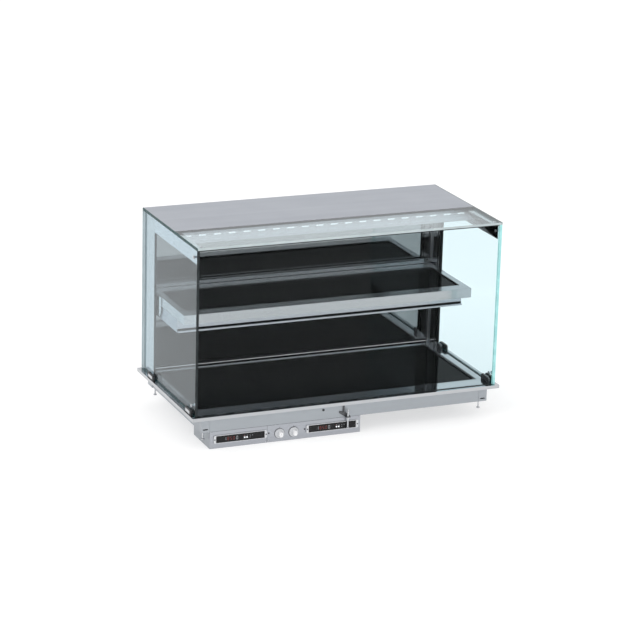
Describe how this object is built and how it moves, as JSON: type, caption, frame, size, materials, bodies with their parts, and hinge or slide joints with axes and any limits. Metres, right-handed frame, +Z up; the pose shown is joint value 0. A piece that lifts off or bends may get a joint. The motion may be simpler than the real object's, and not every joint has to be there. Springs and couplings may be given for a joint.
{
  "type": "hot food display case",
  "caption": "Drop-in heated glass display case: glass-ceramic hot plate, heated mid shelf, glass sides and front, heated head, two rear flaps and a control box below.",
  "frame": {"origin": "on the underside of the flange where it rests on the counter, middle of the front edge, straight below the outer face of the front pane", "axes": "+X along the counter to the guest's right, +Y from the guest side to the staff side, +Z up"},
  "size_m": [1.124, 0.5646, 0.698],
  "materials": {
    "brushed_steel": "fine brushed stainless sheet",
    "satin_steel": "satin stainless sheet",
    "zinc": "bright plated screws and fixings",
    "black_glass": "polished black glass-ceramic",
    "display_window": "glossy dark display window",
    "clear_glass": "clear tempered glass with green edges",
    "mirror": "mirrored glass",
    "silicone": "matte black silicone",
    "black_plastic": "matte black moulding",
    "grey_plastic": "light grey moulding",
    "white_plastic": "satin white moulding",
    "heater_foil": "etched foil heater",
    "insulation": "pressed mineral insulation board",
    "quartz": "milky quartz with ceramic ends",
    "dark_steel": "blackened steel"
  },
  "bodies": {
    "case": {"base_tray": "brushed_steel", "hot_plate": "black_glass", "plate_seal": "silicone", "plate_heater": "heater_foil", "plate_insulation": "insulation", "casing_shell": "satin_steel", "casing_front_panel": "satin_steel", "front_clamp_bracket": "dark_steel", "control_box": "satin_steel", "control_panel_left": "brushed_steel", "control_panel_right": "brushed_steel", "controller_left_case": "grey_plastic", "controller_left_lens": "display_window", "controller_right_case": "grey_plastic", "controller_right_lens": "display_window", "regulator_block": "black_plastic", "cable_gland": "black_plastic", "post_left": "brushed_steel", "post_right": "brushed_steel", "head_arm_left": "satin_steel", "head_arm_right": "satin_steel", "head_fascia": "brushed_steel", "head_floor": "brushed_steel", "head_reflector": "brushed_steel", "heater_element": "quartz", "roof_cover": "brushed_steel", "front_glass": "clear_glass", "left_glass": "clear_glass", "right_glass": "clear_glass", "top_glass": "clear_glass", "top_connector_left": "zinc", "top_connector_right": "zinc", "glass_clamp_front_left": "black_plastic", "glass_clamp_front_right": "black_plastic", "glass_clamp_rear_left": "black_plastic", "glass_clamp_rear_right": "black_plastic", "shelf_frame": "brushed_steel", "shelf_plate": "black_glass", "shelf_heater": "heater_foil", "shelf_tray": "brushed_steel", "shelf_bracket_left": "brushed_steel", "shelf_bracket_right": "brushed_steel", "mid_rail": "brushed_steel"},
    "upper_flap": {"upper_door": "mirror", "upper_door_hinge_rail": "satin_steel", "upper_door_handle": "brushed_steel"},
    "lower_flap": {"lower_door": "mirror", "lower_door_hinge_rail": "satin_steel", "lower_door_handle": "brushed_steel"},
    "knob_left": {"knob_left": "white_plastic"},
    "knob_right": {"knob_right": "white_plastic"},
    "controller_left_key_1": {"controller_left_key_1": "white_plastic"},
    "controller_left_key_2": {"controller_left_key_2": "white_plastic"},
    "controller_right_key_1": {"controller_right_key_1": "white_plastic"},
    "controller_right_key_2": {"controller_right_key_2": "white_plastic"},
    "clamp_screw_front_left": {"clamp_screw_front_left": "zinc"},
    "clamp_screw_front_right": {"clamp_screw_front_right": "zinc"},
    "clamp_screw_rear_left": {"clamp_screw_rear_left": "zinc"},
    "clamp_screw_rear_right": {"clamp_screw_rear_right": "zinc"},
    "front_clamp_screw": {"front_clamp_screw": "zinc"}
  },
  "joints": [
    {"name": "upper_flap_hinge", "type": "hinge", "parent": "case", "child": "upper_flap", "pos_m": [0, 0.526, 0.53], "axis": [1, 0, 0], "range_deg": [0, 85]},
    {"name": "lower_flap_hinge", "type": "hinge", "parent": "case", "child": "lower_flap", "pos_m": [0, 0.526, 0.305], "axis": [1, 0, 0], "range_deg": [0, 85]},
    {"name": "knob_left_turn", "type": "hinge", "parent": "case", "child": "knob_left", "pos_m": [-0.245, -0.002, -0.08], "axis": [0, 1, 0], "range_deg": [0, 270]},
    {"name": "knob_right_turn", "type": "hinge", "parent": "case", "child": "knob_right", "pos_m": [-0.194, -0.002, -0.08], "axis": [0, 1, 0], "range_deg": [0, 270]},
    {"name": "controller_left_key_1_press", "type": "slide", "parent": "case", "child": "controller_left_key_1", "axis": [0, 1, 0], "range_m": [0, 0.001], "stiffness_N_per_m": 300},
    {"name": "controller_left_key_2_press", "type": "slide", "parent": "case", "child": "controller_left_key_2", "axis": [0, 1, 0], "range_m": [0, 0.001], "stiffness_N_per_m": 300},
    {"name": "controller_right_key_1_press", "type": "slide", "parent": "case", "child": "controller_right_key_1", "axis": [0, 1, 0], "range_m": [0, 0.001], "stiffness_N_per_m": 300},
    {"name": "controller_right_key_2_press", "type": "slide", "parent": "case", "child": "controller_right_key_2", "axis": [0, 1, 0], "range_m": [0, 0.001], "stiffness_N_per_m": 300},
    {"name": "clamp_screw_front_left_travel", "type": "slide", "parent": "case", "child": "clamp_screw_front_left", "axis": [0, 0, 1], "range_m": [-0.012, 0.012]},
    {"name": "clamp_screw_front_right_travel", "type": "slide", "parent": "case", "child": "clamp_screw_front_right", "axis": [0, 0, 1], "range_m": [-0.012, 0.012]},
    {"name": "clamp_screw_rear_left_travel", "type": "slide", "parent": "case", "child": "clamp_screw_rear_left", "axis": [0, 0, 1], "range_m": [-0.012, 0.012]},
    {"name": "clamp_screw_rear_right_travel", "type": "slide", "parent": "case", "child": "clamp_screw_rear_right", "axis": [0, 0, 1], "range_m": [-0.012, 0.012]},
    {"name": "front_clamp_screw_travel", "type": "slide", "parent": "case", "child": "front_clamp_screw", "axis": [0, 0, 1], "range_m": [-0.012, 0.012]}
  ]
}
